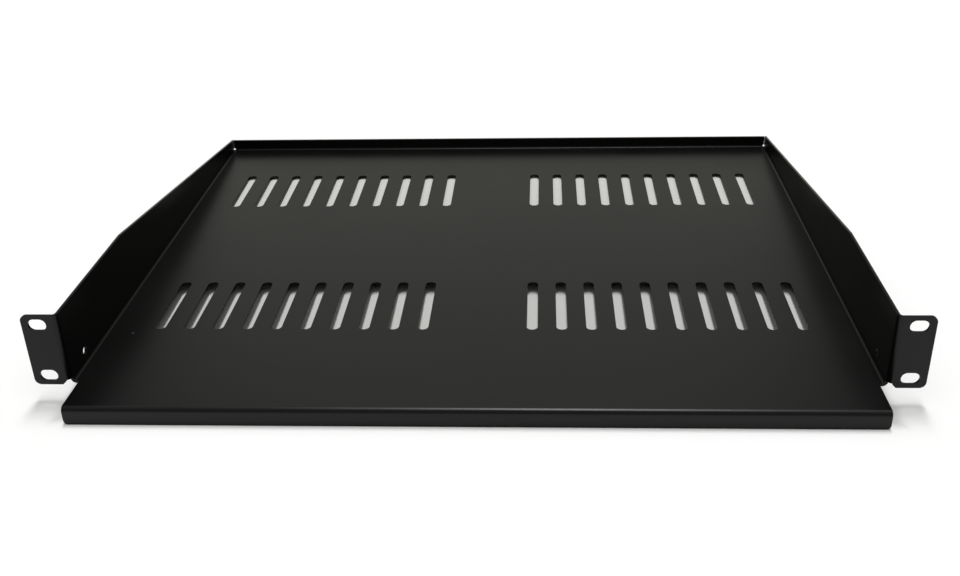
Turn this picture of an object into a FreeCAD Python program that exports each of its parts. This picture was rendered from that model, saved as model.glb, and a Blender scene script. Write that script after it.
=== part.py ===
import FreeCAD, Part
import math
import os

import Sketcher

# Cantilever rack shelf: one sheet of steel, punched flat and folded up.
# X runs across the rack, Y back into it and Z up. The origin is the middle of the
# four ear slots, on the ears' back faces, which seat on the rack's front posts.

doc = FreeCAD.newDocument("CantileverRackShelf")
sheet = doc.addObject("Spreadsheet::Sheet", "Sizes")

# Driving dimensions in millimetres. Each is set here and nowhere else.
SIZES = [
    ("thickness", 1.5),
    ("bend_radius", 1.5),
    ("rack_width", 482.6),
    ("ear_reach", 18.8),
    ("ear_height", 43.5),
    ("ear_corner", 3.5),
    ("ear_chamfer", 1.7),
    ("ear_fold_rise", 2.2),
    ("slot_length", 10.0),
    ("slot_width", 7.0),
    ("slot_from_side", 8.75),
    ("slot_from_end", 5.875),
    ("floor_drop", 21.2),
    ("floor_depth", 360.0),
    ("fold_start", 1.5),
    ("level_length", 100.0),
    ("rear_height", 10.0),
    ("rear_gap", 0.4),
    ("rear_notch", 3.0),
    ("tongue_inset", 4.5),
    ("tongue_reach", 25.5),
    ("lip_height", 10.5),
    ("lip_corner", 2.5),
    ("vent_length", 60.0),
    ("vent_width", 6.6),
    ("vent_pitch", 17.6),
    ("vent_middle", 65.0),
    ("vent_side_margin", 25.0),
    ("vent_end_margin", 60.0),
    ("wall_hole", 5.0),
    ("wall_hole_back", 22.0),
    ("wall_hole_rise", 7.0),
]

# Places and sizes that follow from the driving dimensions.
DERIVED = [
    ("outer_radius", "bend_radius + thickness"),
    ("floor_top", "-floor_drop"),
    ("floor_under", "floor_top - thickness"),
    ("ear_side", "rack_width / 2"),
    ("wall_outside", "ear_side - ear_reach"),
    ("wall_inside", "wall_outside - thickness"),
    ("floor_edge", "wall_outside - outer_radius"),
    ("wall_foot", "floor_top + bend_radius"),
    ("wall_front", "bend_radius"),
    ("ear_front", "-thickness"),
    ("ear_back", "ear_front + thickness"),
    ("ear_root", "wall_inside + outer_radius"),
    ("ear_side_arc", "ear_side - ear_corner"),
    ("ear_top", "ear_height / 2"),
    ("ear_top_arc", "ear_top - ear_corner"),
    ("ear_bottom", "-ear_height / 2"),
    ("ear_bottom_arc", "ear_bottom + ear_corner"),
    ("ear_chamfer_top", "ear_bottom + ear_chamfer"),
    ("ear_chamfer_end", "ear_root + ear_chamfer"),
    ("ear_fold_foot", "floor_top + ear_fold_rise"),
    ("ear_fold_height", "ear_top - ear_fold_foot"),
    ("slot_radius", "slot_width / 2"),
    ("slot_middle", "ear_side - slot_from_side"),
    ("slot_inner", "slot_middle - (slot_length - slot_width) / 2"),
    ("slot_outer", "slot_middle + (slot_length - slot_width) / 2"),
    ("slot_high", "ear_top - slot_from_end"),
    ("slot_low", "ear_bottom + slot_from_end"),
    ("rear_bend", "floor_depth - outer_radius"),
    ("rear_inside", "floor_depth - thickness"),
    ("rear_top", "floor_under + rear_height"),
    ("rear_length", "2 * (wall_inside - rear_gap)"),
    ("tongue_side", "wall_outside - tongue_inset"),
    ("tongue_width", "2 * tongue_side"),
    ("lip_front", "-tongue_reach"),
    ("lip_inside", "thickness - tongue_reach"),
    ("lip_bend", "outer_radius - tongue_reach"),
    ("lip_bend_foot", "floor_under - bend_radius"),
    ("lip_bottom", "floor_top - lip_height"),
    ("vent_radius", "vent_width / 2"),
    ("vent_near", "ear_front + vent_end_margin + vent_radius"),
    ("vent_far", "vent_near + vent_length - vent_width"),
    ("vent_rear_far", "floor_depth - vent_end_margin - vent_radius"),
    ("vent_rear_near", "vent_rear_far - vent_length + vent_width"),
    ("vent_right", "vent_middle / 2"),
    ("vent_room", "floor_edge - vent_side_margin - vent_right"),
    ("vent_count", "floor(vent_room / vent_pitch) + 1"),
    ("vent_left", "-vent_right - (vent_count - 1) * vent_pitch"),
    ("wall_hole_radius", "wall_hole / 2"),
    ("wall_hole_height", "floor_top + wall_hole_rise"),
]

for row, (alias, value) in enumerate(SIZES, start=1):
    sheet.set(f"A{row}", alias)
    sheet.set(f"B{row}", str(value))
    sheet.setAlias(f"B{row}", alias)
for row, (alias, formula) in enumerate(DERIVED, start=1):
    sheet.set(f"D{row}", alias)
    sheet.set(f"E{row}", "=" + formula)
    sheet.setAlias(f"E{row}", alias)
doc.recompute()


def size(name):
    """Return the value of a named size; a leading minus sign turns it round."""
    if name.startswith("-"):
        return -float(getattr(sheet, name[1:]))
    return float(getattr(sheet, name))


def cell(name):
    """Return the expression that binds a property to a named size."""
    if name.startswith("-"):
        return "-Sizes." + name[1:]
    return "Sizes." + name


body = doc.addObject("PartDesign::Body", "rack_shelf")
body.Label = "rack_shelf"


def datum(role):
    """Return one of the body's own origin planes or axes."""
    return [feature for feature in body.Origin.OriginFeatures if feature.Role == role][0]


def new_sketch(name, role, offset=""):
    """Start a sketch on an origin plane, moved along that plane's normal by a named size."""
    sketch = body.newObject("Sketcher::SketchObject", name)
    sketch.AttachmentSupport = [(datum(role), "")]
    sketch.MapMode = "FlatFace"
    if offset:
        sketch.setExpression("AttachmentOffset.Base.z", cell(offset))
    return sketch


def bind(sketch, kind, arguments, name):
    """Add one dimension to a sketch and tie it to a named size."""
    index = sketch.addConstraint(Sketcher.Constraint(kind, *arguments, size(name)))
    sketch.setExpression(f"Constraints[{index}]", cell(name))


def pin(sketch, geometry, vertex, x, y):
    """Hold one point of a sketch at a named place."""
    bind(sketch, "DistanceX", (-1, 1, geometry, vertex), x)
    bind(sketch, "DistanceY", (-1, 1, geometry, vertex), y)


def arc_between(start, end, centre):
    """Return the short arc from start to end about centre, and whether it runs anticlockwise."""
    first = math.atan2(start.y - centre.y, start.x - centre.x)
    last = math.atan2(end.y - centre.y, end.x - centre.x)
    forward = (last - first) % (2 * math.pi) < math.pi
    if not forward:
        first, last = last, first
    radius = start.distanceToPoint(centre)
    whole = Part.Circle(centre, FreeCAD.Vector(0, 0, 1), radius)
    return Part.ArcOfCircle(whole, first, last), forward


def outline(sketch, corners):
    """Draw a closed outline through named corners.

    A corner is (x, y). One that ends a round stretch is (x, y, centre x, centre y).
    """
    sides = []
    for index, corner in enumerate(corners):
        before = corners[index - 1]
        start = FreeCAD.Vector(size(before[0]), size(before[1]), 0)
        end = FreeCAD.Vector(size(corner[0]), size(corner[1]), 0)
        if len(corner) == 2:
            geometry = sketch.addGeometry(Part.LineSegment(start, end), False)
            sides.append((geometry, 1, 2))
            continue
        centre = FreeCAD.Vector(size(corner[2]), size(corner[3]), 0)
        arc, forward = arc_between(start, end, centre)
        geometry = sketch.addGeometry(arc, False)
        sides.append((geometry, 1, 2) if forward else (geometry, 2, 1))
    for index, (geometry, first, _) in enumerate(sides):
        before, _, before_last = sides[index - 1]
        sketch.addConstraint(Sketcher.Constraint("Coincident", before, before_last, geometry, first))
    for corner, (geometry, _, last) in zip(corners, sides):
        pin(sketch, geometry, last, corner[0], corner[1])
        if len(corner) == 4:
            bind(sketch, "DistanceX", (-1, 1, geometry, 3), corner[2])


def obround(sketch, start, end, radius):
    """Draw a slot with round ends between two named centres, along X or along Y."""
    first = FreeCAD.Vector(size(start[0]), size(start[1]), 0)
    second = FreeCAD.Vector(size(end[0]), size(end[1]), 0)
    reach = size(radius)
    along = (second - first).normalize()
    across = FreeCAD.Vector(-along.y, along.x, 0) * reach
    angle = math.atan2(along.y, along.x)
    up = FreeCAD.Vector(0, 0, 1)
    near = Part.ArcOfCircle(Part.Circle(first, up, reach), angle + math.pi / 2, angle + 3 * math.pi / 2)
    far = Part.ArcOfCircle(Part.Circle(second, up, reach), angle - math.pi / 2, angle + math.pi / 2)
    near_end = sketch.addGeometry(near, False)
    lower = sketch.addGeometry(Part.LineSegment(first - across, second - across), False)
    far_end = sketch.addGeometry(far, False)
    upper = sketch.addGeometry(Part.LineSegment(second + across, first + across), False)
    for before, after in ((near_end, lower), (lower, far_end), (far_end, upper), (upper, near_end)):
        sketch.addConstraint(Sketcher.Constraint("Tangent", before, 2, after, 1))
    pin(sketch, near_end, 3, start[0], start[1])
    pin(sketch, far_end, 3, end[0], end[1])
    bind(sketch, "Radius", (near_end,), radius)


def circle(sketch, radius, x, y):
    """Draw a circle at a named place."""
    centre = FreeCAD.Vector(size(x), size(y), 0)
    geometry = sketch.addGeometry(Part.Circle(centre, FreeCAD.Vector(0, 0, 1), size(radius)), False)
    pin(sketch, geometry, 3, x, y)
    bind(sketch, "Radius", (geometry,), radius)


def pad(name, sketch, length, side="One side"):
    """Pad a sketch along its normal, or half to each side of it."""
    feature = body.newObject("PartDesign::Pad", name)
    feature.Profile = sketch
    feature.SideType = side
    feature.setExpression("Length", cell(length))
    return feature


def pad_to_mitre(name, sketch, backwards=False):
    """Pad a sketch up to the mitre plane of the right rear corner."""
    feature = body.newObject("PartDesign::Pad", name)
    feature.Profile = sketch
    feature.Reversed = backwards
    feature.Type = "UpToFace"
    feature.UpToFace = (mitre, [""])
    return feature


def pocket(name, sketch, length="", side="One side"):
    """Cut a sketch into the sheet to a named depth, or right through it."""
    feature = body.newObject("PartDesign::Pocket", name)
    feature.Profile = sketch
    feature.SideType = side
    if length:
        feature.setExpression("Length", cell(length))
    else:
        feature.Type = "ThroughAll"
    return feature


def mirror_sides(name, originals):
    """Repeat features of the right side on the left side."""
    feature = body.newObject("PartDesign::Mirrored", name)
    feature.Originals = originals
    feature.MirrorPlane = (datum("YZ_Plane"), [""])
    body.Tip = feature
    doc.recompute()
    return feature


# Floor: the flat tray between the side folds, with the tongue that runs out past the ears.
floor_sketch = new_sketch("FloorOutline", "XY_Plane", "floor_under")
outline(floor_sketch, [
    ("-tongue_side", "lip_bend"),
    ("tongue_side", "lip_bend"),
    ("tongue_side", "fold_start"),
    ("floor_edge", "fold_start"),
    ("floor_edge", "rear_bend"),
    ("-floor_edge", "rear_bend"),
    ("-floor_edge", "fold_start"),
    ("-tongue_side", "fold_start"),
])
pad("Floor", floor_sketch, "thickness")

# Mitre: the upright plane where the side fold and the rear fold meet, halfway between them.
mitre = body.newObject("PartDesign::Plane", "RearMitre")
mitre.AttachmentSupport = [(datum("XY_Plane"), "")]
mitre.MapMode = "FlatFace"
mitre.AttachmentOffset = FreeCAD.Placement(
    FreeCAD.Vector(0, 0, 0), FreeCAD.Rotation(FreeCAD.Vector(0, 0, 1), FreeCAD.Vector(1, -1, 0)))
mitre.setExpression("AttachmentOffset.Base.x", cell("floor_edge"))
mitre.setExpression("AttachmentOffset.Base.y", cell("rear_bend"))
doc.recompute()

# Side fold: the quarter bend that turns the floor up into a wall.
side_sketch = new_sketch("SideFoldSection", "XZ_Plane", "-fold_start")
outline(side_sketch, [
    ("floor_edge", "floor_under"),
    ("wall_outside", "wall_foot", "floor_edge", "wall_foot"),
    ("wall_inside", "wall_foot"),
    ("floor_edge", "floor_top", "floor_edge", "wall_foot"),
])
side_fold = pad_to_mitre("SideFold", side_sketch, backwards=True)

# Rear fold: the same bend across the back, out to the mitre from the middle.
rear_fold_sketch = new_sketch("RearFoldSection", "YZ_Plane")
outline(rear_fold_sketch, [
    ("rear_bend", "floor_under"),
    ("floor_depth", "wall_foot", "rear_bend", "wall_foot"),
    ("rear_inside", "wall_foot"),
    ("rear_bend", "floor_top", "rear_bend", "wall_foot"),
])
rear_fold = pad_to_mitre("RearFold", rear_fold_sketch)

# Wall: the gusset that carries the load. Its top is level, then slopes to the low rear edge.
wall_sketch = new_sketch("WallOutline", "YZ_Plane", "wall_inside")
outline(wall_sketch, [
    ("wall_front", "wall_foot"),
    ("floor_depth", "wall_foot"),
    ("floor_depth", "rear_top"),
    ("level_length", "ear_top"),
    ("wall_front", "ear_top"),
])
wall = pad("Wall", wall_sketch, "thickness")

# Ear fold: the upright bend that turns the wall's front edge outward.
ear_fold_sketch = new_sketch("EarFoldSection", "XY_Plane", "ear_fold_foot")
outline(ear_fold_sketch, [
    ("wall_inside", "wall_front"),
    ("ear_root", "ear_front", "ear_root", "wall_front"),
    ("ear_root", "ear_back"),
    ("wall_outside", "wall_front", "ear_root", "wall_front"),
])
ear_fold = pad("EarFold", ear_fold_sketch, "ear_fold_height")

# Ear: the flange that is screwed to the post, with its two slots. The outer corners are
# round, and the lower inner corner is cut away to clear the folds.
ear_sketch = new_sketch("EarOutline", "XZ_Plane")
outline(ear_sketch, [
    ("ear_root", "ear_chamfer_top"),
    ("ear_chamfer_end", "ear_bottom"),
    ("ear_side_arc", "ear_bottom"),
    ("ear_side", "ear_bottom_arc", "ear_side_arc", "ear_bottom_arc"),
    ("ear_side", "ear_top_arc"),
    ("ear_side_arc", "ear_top", "ear_side_arc", "ear_top_arc"),
    ("ear_root", "ear_top"),
])
for slot_level in ("slot_low", "slot_high"):
    obround(ear_sketch, ("slot_inner", slot_level), ("slot_outer", slot_level), "slot_radius")
ear = pad("Ear", ear_sketch, "thickness")
mirror_sides("LeftSide", [side_fold, rear_fold, wall, ear_fold, ear])

# Rear edge: the low upstand above that fold, which stops just short of each wall.
rear_sketch = new_sketch("RearEdgeSection", "YZ_Plane")
outline(rear_sketch, [
    ("floor_depth", "wall_foot"),
    ("floor_depth", "rear_top"),
    ("rear_inside", "rear_top"),
    ("rear_inside", "wall_foot"),
])
pad("RearEdge", rear_sketch, "rear_length", "Symmetric")

# Front lip: the end of the tongue, folded down to stiffen it.
lip_sketch = new_sketch("LipSection", "YZ_Plane")
outline(lip_sketch, [
    ("lip_bend", "floor_under"),
    ("lip_inside", "lip_bend_foot", "lip_bend", "lip_bend_foot"),
    ("lip_inside", "lip_bottom"),
    ("lip_front", "lip_bottom"),
    ("lip_front", "lip_bend_foot"),
    ("lip_bend", "floor_top", "lip_bend", "lip_bend_foot"),
])
lip = pad("Lip", lip_sketch, "tongue_width", "Symmetric")
doc.recompute()

# The lip's two lower corners are rounded off, as far as its height allows.
closeness = 0.01
lip_edges = []
for number, edge in enumerate(lip.Shape.Edges, start=1):
    middle = edge.CenterOfMass
    at_bottom = abs(middle.z - size("lip_bottom")) < closeness
    at_side = abs(abs(middle.x) - size("tongue_side")) < closeness
    if at_bottom and at_side:
        lip_edges.append(f"Edge{number}")
rounded = body.newObject("PartDesign::Fillet", "LipCorners")
rounded.Base = (lip, lip_edges)
rounded.setExpression("Radius", cell("lip_corner"))
doc.recompute()

# Vents: long slots from front to back in two rows, with a left and a right group in each.
vent_sketch = new_sketch("VentSlots", "XY_Plane", "floor_top")
for vent_near, vent_far in (("vent_near", "vent_far"), ("vent_rear_near", "vent_rear_far")):
    for vent_side in ("vent_left", "vent_right"):
        obround(vent_sketch, (vent_side, vent_near), (vent_side, vent_far), "vent_radius")
vent = pocket("Vent", vent_sketch, "thickness")
vents = body.newObject("PartDesign::LinearPattern", "Vents")
vents.Originals = [vent]
vents.Direction = (datum("X_Axis"), [""])
vents.Mode = "Spacing"
vents.setExpression("Offset", cell("vent_pitch"))
vents.setExpression("Occurrences", cell("vent_count"))
body.Tip = vents
doc.recompute()

# A small round hole low at the front of each wall.
hole_sketch = new_sketch("WallHoles", "YZ_Plane")
circle(hole_sketch, "wall_hole_radius", "wall_hole_back", "wall_hole_height")
pocket("WallHole", hole_sketch, side="Symmetric")

# Rear notch: the corner where three bends would meet is nibbled away round, below the wall
# and the rear edge, so that the sheet doesn't tear there.
notch_sketch = new_sketch("RearNotchCircle", "XY_Plane", "wall_foot")
circle(notch_sketch, "rear_notch", "wall_outside", "floor_depth")
rear_notch = pocket("RearNotch", notch_sketch, "outer_radius")
mirror_sides("LeftNotch", [rear_notch])

doc.recompute()
for item in doc.Objects:
    if "Invalid" in item.State or "Error" in item.State:
        raise RuntimeError(f"{item.Name} failed: {item.State}")
shape = body.Shape
if shape.isNull() or not shape.isValid() or len(shape.Solids) != 1:
    raise RuntimeError("the shelf is not one valid solid")

os.makedirs("parts", exist_ok=True)
shape.exportStep("parts/" + body.Label + ".step")
box = shape.BoundBox
print(f"{body.Label}: {box.XLength:.2f} x {box.YLength:.2f} x {box.ZLength:.2f} mm,"
      f" {shape.Volume / 1000:.1f} cubic centimetres of steel")
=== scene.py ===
import math

import bpy
from mathutils import Matrix, Vector


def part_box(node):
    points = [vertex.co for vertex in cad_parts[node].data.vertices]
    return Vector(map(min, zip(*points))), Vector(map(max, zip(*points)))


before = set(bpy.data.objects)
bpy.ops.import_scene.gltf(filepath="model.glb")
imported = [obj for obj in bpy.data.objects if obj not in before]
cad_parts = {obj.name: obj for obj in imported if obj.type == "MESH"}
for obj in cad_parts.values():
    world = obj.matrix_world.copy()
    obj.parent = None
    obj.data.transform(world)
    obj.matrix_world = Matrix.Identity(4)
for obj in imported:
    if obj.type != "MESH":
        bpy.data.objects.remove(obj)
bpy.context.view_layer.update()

# The shelf is one sheet of steel, 1.5 mm thick. It is punched flat with its vents, slots and
# small wall holes, and then folded up at the sides and the back, out at the ears and down at
# the front lip. It screws to the rack by its ears.
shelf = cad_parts["rack_shelf"]
shelf_low, shelf_high = (Vector(corner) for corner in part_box("rack_shelf"))

# The black powder coat is sprayed on dry and baked, which gives the half gloss of a fine, low
# orange peel. It lies thin and dull on the torn edges of the vents, and duller still in the
# narrow slits of the rear corners, and a grain of dust or two is baked in.
COAT_BLACK = (0.0008, 0.0008, 0.0008, 1.0)
COAT_WORN = (0.0018, 0.0018, 0.0016, 1.0)
COAT_NIB = (0.065, 0.080, 0.080, 1.0)
COAT_SMOOTH = 0.28
COAT_DULL = 0.33
COAT_THIN = 0.58
COAT_SLIT = 0.85
COAT_SPECULAR = 0.25
CLOUDS_PER_METRE = 14.0
CLOUD_DETAIL = 3.0
CLOUD_LOW = 0.3
CLOUD_HIGH = 0.7
PEEL_PER_METRE = 190.0
PEEL_HEIGHT = 0.000015
GRAIN_PER_METRE = 1400.0
GRAIN_HEIGHT = 0.000008
RELIEF_DETAIL = 2.0
RELIEF_STRENGTH = 1.0
NIB_PLACES = (Vector((-0.2052, 0.0536, -0.0212)), Vector((0.1756, 0.3585, -0.0201)))
NIB_RADIUS = 0.0011
VENT_EDGES_MIDDLE = Vector((0.0, 0.178, -0.02195))
VENT_EDGES_REACH = Vector((0.218, 0.178, 0.00074))
SLIT_MIDDLE = Vector((0.2208, 0.3605, -0.0165))
SLIT_REACH = Vector((0.0004, 0.0022, 0.0060))
EDGE_FADE = 0.00004


def outside_box(nodes, links, place, middle, reach, fade):
    """Return 0 inside a box and its mirror image across X = 0, and 1 from the fade outwards."""
    whole = nodes.new("ShaderNodeSeparateXYZ")
    links.new(place, whole.inputs["Vector"])
    mirrored = nodes.new("ShaderNodeMath")
    mirrored.operation = "ABSOLUTE"
    links.new(whole.outputs["X"], mirrored.inputs[0])
    folded = nodes.new("ShaderNodeCombineXYZ")
    links.new(mirrored.outputs["Value"], folded.inputs["X"])
    links.new(whole.outputs["Y"], folded.inputs["Y"])
    links.new(whole.outputs["Z"], folded.inputs["Z"])
    centred = nodes.new("ShaderNodeVectorMath")
    centred.operation = "SUBTRACT"
    centred.inputs[1].default_value = middle
    links.new(folded.outputs["Vector"], centred.inputs[0])
    spread = nodes.new("ShaderNodeVectorMath")
    spread.operation = "ABSOLUTE"
    links.new(centred.outputs["Vector"], spread.inputs[0])
    past = nodes.new("ShaderNodeVectorMath")
    past.operation = "SUBTRACT"
    past.inputs[1].default_value = reach
    links.new(spread.outputs["Vector"], past.inputs[0])
    parts = nodes.new("ShaderNodeSeparateXYZ")
    links.new(past.outputs["Vector"], parts.inputs["Vector"])
    furthest = parts.outputs["X"]
    for axis in ("Y", "Z"):
        further = nodes.new("ShaderNodeMath")
        further.operation = "MAXIMUM"
        links.new(furthest, further.inputs[0])
        links.new(parts.outputs[axis], further.inputs[1])
        furthest = further.outputs["Value"]
    outside = nodes.new("ShaderNodeMapRange")
    outside.interpolation_type = "SMOOTHSTEP"
    outside.inputs["From Min"].default_value = -fade
    outside.inputs["From Max"].default_value = 0.0
    links.new(furthest, outside.inputs["Value"])
    return outside.outputs["Result"]


def powder_coat():
    """Return the black powder coat: a fine grain over a low peel, clouds in its gloss, and nibs."""
    material = bpy.data.materials.new("black_powder_coat")
    material.use_nodes = True
    nodes = material.node_tree.nodes
    links = material.node_tree.links
    shader = nodes["Principled BSDF"]
    shader.inputs["Specular IOR Level"].default_value = COAT_SPECULAR

    place = nodes.new("ShaderNodeTexCoord")
    cloud = nodes.new("ShaderNodeTexNoise")
    cloud.inputs["Scale"].default_value = CLOUDS_PER_METRE
    cloud.inputs["Detail"].default_value = CLOUD_DETAIL
    links.new(place.outputs["Object"], cloud.inputs["Vector"])

    colour = nodes.new("ShaderNodeMix")
    colour.data_type = "RGBA"
    colour.inputs["A"].default_value = COAT_BLACK
    colour.inputs["B"].default_value = COAT_WORN
    links.new(cloud.outputs["Fac"], colour.inputs["Factor"])
    coat = colour.outputs["Result"]
    for nib_place in NIB_PLACES:
        away = nodes.new("ShaderNodeVectorMath")
        away.operation = "DISTANCE"
        away.inputs[1].default_value = nib_place
        links.new(place.outputs["Object"], away.inputs[0])
        spot = nodes.new("ShaderNodeMapRange")
        spot.interpolation_type = "SMOOTHSTEP"
        spot.inputs["From Max"].default_value = NIB_RADIUS
        spot.inputs["To Min"].default_value = 1.0
        spot.inputs["To Max"].default_value = 0.0
        links.new(away.outputs["Value"], spot.inputs["Value"])
        nib = nodes.new("ShaderNodeMix")
        nib.data_type = "RGBA"
        nib.inputs["B"].default_value = COAT_NIB
        links.new(spot.outputs["Result"], nib.inputs["Factor"])
        links.new(coat, nib.inputs["A"])
        coat = nib.outputs["Result"]
    links.new(coat, shader.inputs["Base Color"])

    gloss = nodes.new("ShaderNodeMapRange")
    gloss.inputs["From Min"].default_value = CLOUD_LOW
    gloss.inputs["From Max"].default_value = CLOUD_HIGH
    gloss.inputs["To Min"].default_value = COAT_SMOOTH
    gloss.inputs["To Max"].default_value = COAT_DULL
    links.new(cloud.outputs["Fac"], gloss.inputs["Value"])
    roughness = gloss.outputs["Result"]
    for middle, reach, dull in ((VENT_EDGES_MIDDLE, VENT_EDGES_REACH, COAT_THIN),
                                (SLIT_MIDDLE, SLIT_REACH, COAT_SLIT)):
        thin = nodes.new("ShaderNodeMix")
        thin.data_type = "FLOAT"
        thin.inputs["A"].default_value = dull
        links.new(roughness, thin.inputs["B"])
        away_from_edge = outside_box(nodes, links, place.outputs["Object"], middle, reach, EDGE_FADE)
        links.new(away_from_edge, thin.inputs["Factor"])
        roughness = thin.outputs["Result"]
    links.new(roughness, shader.inputs["Roughness"])

    before = None
    for scale, height in ((PEEL_PER_METRE, PEEL_HEIGHT), (GRAIN_PER_METRE, GRAIN_HEIGHT)):
        noise = nodes.new("ShaderNodeTexNoise")
        noise.inputs["Scale"].default_value = scale
        noise.inputs["Detail"].default_value = RELIEF_DETAIL
        links.new(place.outputs["Object"], noise.inputs["Vector"])
        bump = nodes.new("ShaderNodeBump")
        bump.inputs["Strength"].default_value = RELIEF_STRENGTH
        bump.inputs["Distance"].default_value = height
        links.new(noise.outputs["Fac"], bump.inputs["Height"])
        if before:
            links.new(before.outputs["Normal"], bump.inputs["Normal"])
        before = bump
    links.new(before.outputs["Normal"], shader.inputs["Normal"])
    return material


shelf.data.materials.clear()
shelf.data.materials.append(powder_coat())

# The tabletop is matt white board. The shelf lies on it on the back edge of its floor and on
# its front lip, so that the table tilts a little in the shelf's own frame. The board under the
# shelf gets less light, and its colour there is also painted grey, a painted shade that makes
# it look greyer through the vents.
SHEET_THICKNESS = 0.0015
BEND_OUTSIDE = 0.003
LIP_BACK = shelf_low.y + SHEET_THICKNESS
LIP_FOOT = shelf_low.z
REAR_FOOT_BACK = shelf_high.y - BEND_OUTSIDE
REAR_FOOT = -0.0227
TABLE_HALF = 20.0
TABLE_ROUGHNESS = 0.6
TABLE_SPECULAR = 0.0
TABLE_GIVES = (0.75, 0.75, 0.75, 1.0)
TABLE_SHOWS = (1.0, 1.0, 1.0, 1.0)
# Painted shade: the board's colour is made greyer under the shelf's outline.
TABLE_PAINTED_SHADE = (0.64, 0.64, 0.62, 1.0)
PAINTED_SHADE_MIDDLE = Vector((0.0, 0.17, 0.0))
PAINTED_SHADE_REACH = Vector((0.230, 0.197, 1.0))
PAINTED_SHADE_FADE = 0.012

tilt = math.atan2(REAR_FOOT - LIP_FOOT, REAR_FOOT_BACK - LIP_BACK)
table_turn = Matrix.Rotation(tilt, 3, "X")
table_point = Vector((0.0, LIP_BACK, LIP_FOOT))


def white_board():
    """Return the matt white of the table, whiter to the eye than as a source of light, and painted
    grey as shade under the shelf.
    """
    material = bpy.data.materials.new("white_board")
    material.use_nodes = True
    nodes = material.node_tree.nodes
    links = material.node_tree.links
    shader = nodes["Principled BSDF"]
    shader.inputs["Roughness"].default_value = TABLE_ROUGHNESS
    shader.inputs["Specular IOR Level"].default_value = TABLE_SPECULAR

    place = nodes.new("ShaderNodeTexCoord")
    # The board's seen colour is painted grey under the shelf as painted shade, fading to white past
    # its outline.
    outside = outside_box(nodes, links, place.outputs["Object"], PAINTED_SHADE_MIDDLE, PAINTED_SHADE_REACH, PAINTED_SHADE_FADE)
    board = nodes.new("ShaderNodeMix")
    board.data_type = "RGBA"
    board.inputs["A"].default_value = TABLE_PAINTED_SHADE
    board.inputs["B"].default_value = TABLE_SHOWS
    links.new(outside, board.inputs["Factor"])

    path = nodes.new("ShaderNodeLightPath")
    seen = path.outputs["Is Camera Ray"]
    for ray in ("Is Glossy Ray", "Is Transmission Ray"):
        either = nodes.new("ShaderNodeMath")
        either.operation = "MAXIMUM"
        links.new(seen, either.inputs[0])
        links.new(path.outputs[ray], either.inputs[1])
        seen = either.outputs["Value"]
    white = nodes.new("ShaderNodeMix")
    white.data_type = "RGBA"
    white.inputs["A"].default_value = TABLE_GIVES
    links.new(board.outputs["Result"], white.inputs["B"])
    links.new(seen, white.inputs["Factor"])
    links.new(white.outputs["Result"], shader.inputs["Base Color"])
    return material


table_mesh = bpy.data.meshes.new("tabletop")
corners = [table_point + table_turn @ Vector((x, y, 0.0))
           for x, y in ((-TABLE_HALF, -TABLE_HALF), (TABLE_HALF, -TABLE_HALF),
                        (TABLE_HALF, TABLE_HALF), (-TABLE_HALF, TABLE_HALF))]
table_mesh.from_pydata(corners, [], [(0, 1, 2, 3)])
tabletop = bpy.data.objects.new("tabletop", table_mesh)
bpy.context.scene.collection.objects.link(tabletop)
tabletop.data.materials.append(white_board())

# The light is a long, narrow soft box overhead, made of a row of suns that light the whole table
# alike. The ceiling is pale, but dark round the soft box. Behind stands a pale screen, a little
# warm near the table. The sides are dim, and past the table's end the room looks plain white.
CEILING_LEVEL = 0.66
CEILING_FROM = 0.62
CEILING_FULL = 0.78
DARK_LEVEL = 0.12
DARK_FROM = 0.84
DARK_FULL = 0.94
SCREEN_LEVEL = 0.60
SCREEN_LEFT = math.radians(-23.5)
SCREEN_RIGHT = math.radians(16.0)
SCREEN_FADE = math.radians(3.5)
SCREEN_LOW = (0.84, 0.84, 0.74, 1.0)
SCREEN_HIGH = (1.0, 1.0, 1.0, 1.0)
SCREEN_HIGH_FROM = 0.60
SCREEN_LOW_FROM = 0.33
SIDES_LEVEL = 0.20
FRONT_LEVEL = 0.50
FRONT_FROM = -0.72
FRONT_FULL = -0.84
ROOM_SEEN = (1.0, 1.0, 1.0, 1.0)
OVERHEAD_LEVEL = 0.68
OVERHEAD_STRIPS = 5
OVERHEAD_WIDTH = math.radians(9.5)
OVERHEAD_STEP = math.radians(7.0)
OVERHEAD_BACK = math.radians(10.0)
OVERHEAD_RIGHT = math.radians(1.5)

world = bpy.data.worlds.new("pale_room")
world.use_nodes = True
room_nodes = world.node_tree.nodes
room_links = world.node_tree.links
background = room_nodes["Background"]
direction = room_nodes.new("ShaderNodeTexCoord")
along = room_nodes.new("ShaderNodeSeparateXYZ")
room_links.new(direction.outputs["Generated"], along.inputs["Vector"])
bearing = room_nodes.new("ShaderNodeMath")
bearing.operation = "ARCTAN2"
room_links.new(along.outputs["X"], bearing.inputs[0])
room_links.new(along.outputs["Y"], bearing.inputs[1])


def fade(source, start, end, level_before, level_after):
    """Return a level of the room's light that goes smoothly from one value to another."""
    ramp = room_nodes.new("ShaderNodeMapRange")
    ramp.interpolation_type = "SMOOTHSTEP"
    ramp.inputs["From Min"].default_value = start
    ramp.inputs["From Max"].default_value = end
    ramp.inputs["To Min"].default_value = level_before
    ramp.inputs["To Max"].default_value = level_after
    room_links.new(source, ramp.inputs["Value"])
    return ramp.outputs["Result"]


def combine(operation, first, second):
    """Return two levels of the room's light taken together."""
    both = room_nodes.new("ShaderNodeMath")
    both.operation = operation
    room_links.new(first, both.inputs[0])
    room_links.new(second, both.inputs[1])
    return both.outputs["Value"]


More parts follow.
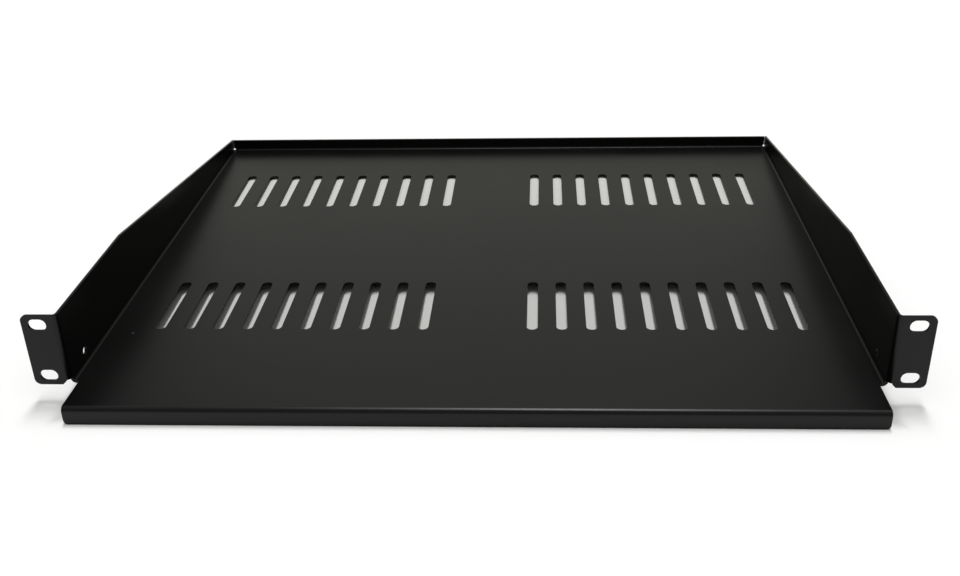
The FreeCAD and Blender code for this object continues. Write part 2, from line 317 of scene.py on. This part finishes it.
ceiling_edge = fade(along.outputs["Z"], CEILING_FROM, CEILING_FULL, SIDES_LEVEL, CEILING_LEVEL)
ceiling_dark = fade(along.outputs["Z"], DARK_FROM, DARK_FULL, CEILING_LEVEL, DARK_LEVEL)
ceiling = combine("MINIMUM", ceiling_edge, ceiling_dark)
screen_left = fade(bearing.outputs["Value"], SCREEN_LEFT - SCREEN_FADE, SCREEN_LEFT + SCREEN_FADE,
                   SIDES_LEVEL, SCREEN_LEVEL)
screen_right = fade(bearing.outputs["Value"], SCREEN_RIGHT - SCREEN_FADE, SCREEN_RIGHT + SCREEN_FADE,
                    SCREEN_LEVEL, SIDES_LEVEL)
screen = combine("MINIMUM", screen_left, screen_right)
front = fade(along.outputs["Y"], FRONT_FULL, FRONT_FROM, FRONT_LEVEL, SIDES_LEVEL)
brightest = combine("MAXIMUM", combine("MAXIMUM", ceiling, screen), front)
room_path = room_nodes.new("ShaderNodeLightPath")
room_strength = combine("MAXIMUM", brightest, room_path.outputs["Is Camera Ray"])
room_links.new(room_strength, background.inputs["Strength"])
how_high = room_nodes.new("ShaderNodeMapRange")
how_high.inputs["From Min"].default_value = SCREEN_LOW_FROM
how_high.inputs["From Max"].default_value = SCREEN_HIGH_FROM
room_links.new(along.outputs["Z"], how_high.inputs["Value"])
room_colour = room_nodes.new("ShaderNodeMix")
room_colour.data_type = "RGBA"
room_colour.inputs["A"].default_value = SCREEN_LOW
room_colour.inputs["B"].default_value = SCREEN_HIGH
room_links.new(how_high.outputs["Result"], room_colour.inputs["Factor"])
seen_colour = room_nodes.new("ShaderNodeMix")
seen_colour.data_type = "RGBA"
seen_colour.inputs["B"].default_value = ROOM_SEEN
room_links.new(room_path.outputs["Is Camera Ray"], seen_colour.inputs["Factor"])
room_links.new(room_colour.outputs["Result"], seen_colour.inputs["A"])
room_links.new(seen_colour.outputs["Result"], background.inputs["Color"])
bpy.context.scene.world = world

for strip in range(OVERHEAD_STRIPS):
    from_middle = (strip - (OVERHEAD_STRIPS - 1) / 2) * OVERHEAD_STEP
    overhead_data = bpy.data.lights.new("overhead", "SUN")
    overhead_data.energy = OVERHEAD_LEVEL * math.pi / OVERHEAD_STRIPS
    overhead_data.angle = OVERHEAD_WIDTH
    overhead = bpy.data.objects.new("overhead", overhead_data)
    overhead.rotation_euler = (-OVERHEAD_BACK - from_middle, OVERHEAD_RIGHT, 0.0)
    bpy.context.scene.collection.objects.link(overhead)

# The camera stands in front of the shelf, a little to the right, and looks down on it.
IMAGE_WIDTH = 960.0
IMAGE_HEIGHT = 576.0
FOCAL_PIXELS = 1087.92
SENSOR_WIDTH = 36.0
NEAREST_SEEN = 0.01
CENTRE_X = 485.54
CENTRE_Y = 277.72
PITCH = math.radians(27.45)
YAW = math.radians(3.343)
ROLL = math.radians(-1.587)
CAMERA_PLACE = Vector((0.03823, -0.49608, 0.30180))

ahead = Matrix.Rotation(YAW, 3, "Z") @ Vector((0.0, math.cos(PITCH), -math.sin(PITCH)))
level_right = Matrix.Rotation(YAW, 3, "Z") @ Vector((1.0, 0.0, 0.0))
level_up = level_right.cross(ahead)
right = math.cos(ROLL) * level_right + math.sin(ROLL) * level_up
up = -math.sin(ROLL) * level_right + math.cos(ROLL) * level_up

camera_data = bpy.data.cameras.new("camera")
camera_data.sensor_fit = "HORIZONTAL"
camera_data.sensor_width = SENSOR_WIDTH
camera_data.lens = FOCAL_PIXELS * SENSOR_WIDTH / IMAGE_WIDTH
camera_data.shift_x = (IMAGE_WIDTH / 2 - CENTRE_X) / IMAGE_WIDTH
camera_data.shift_y = (CENTRE_Y - IMAGE_HEIGHT / 2) / IMAGE_WIDTH
camera_data.clip_start = NEAREST_SEEN
camera = bpy.data.objects.new("camera", camera_data)
turn = Matrix((right, up, -ahead)).transposed().to_4x4()
camera.matrix_world = Matrix.Translation(CAMERA_PLACE) @ turn
bpy.context.scene.collection.objects.link(camera)
bpy.context.scene.camera = camera
bpy.context.scene.view_settings.view_transform = "Standard"
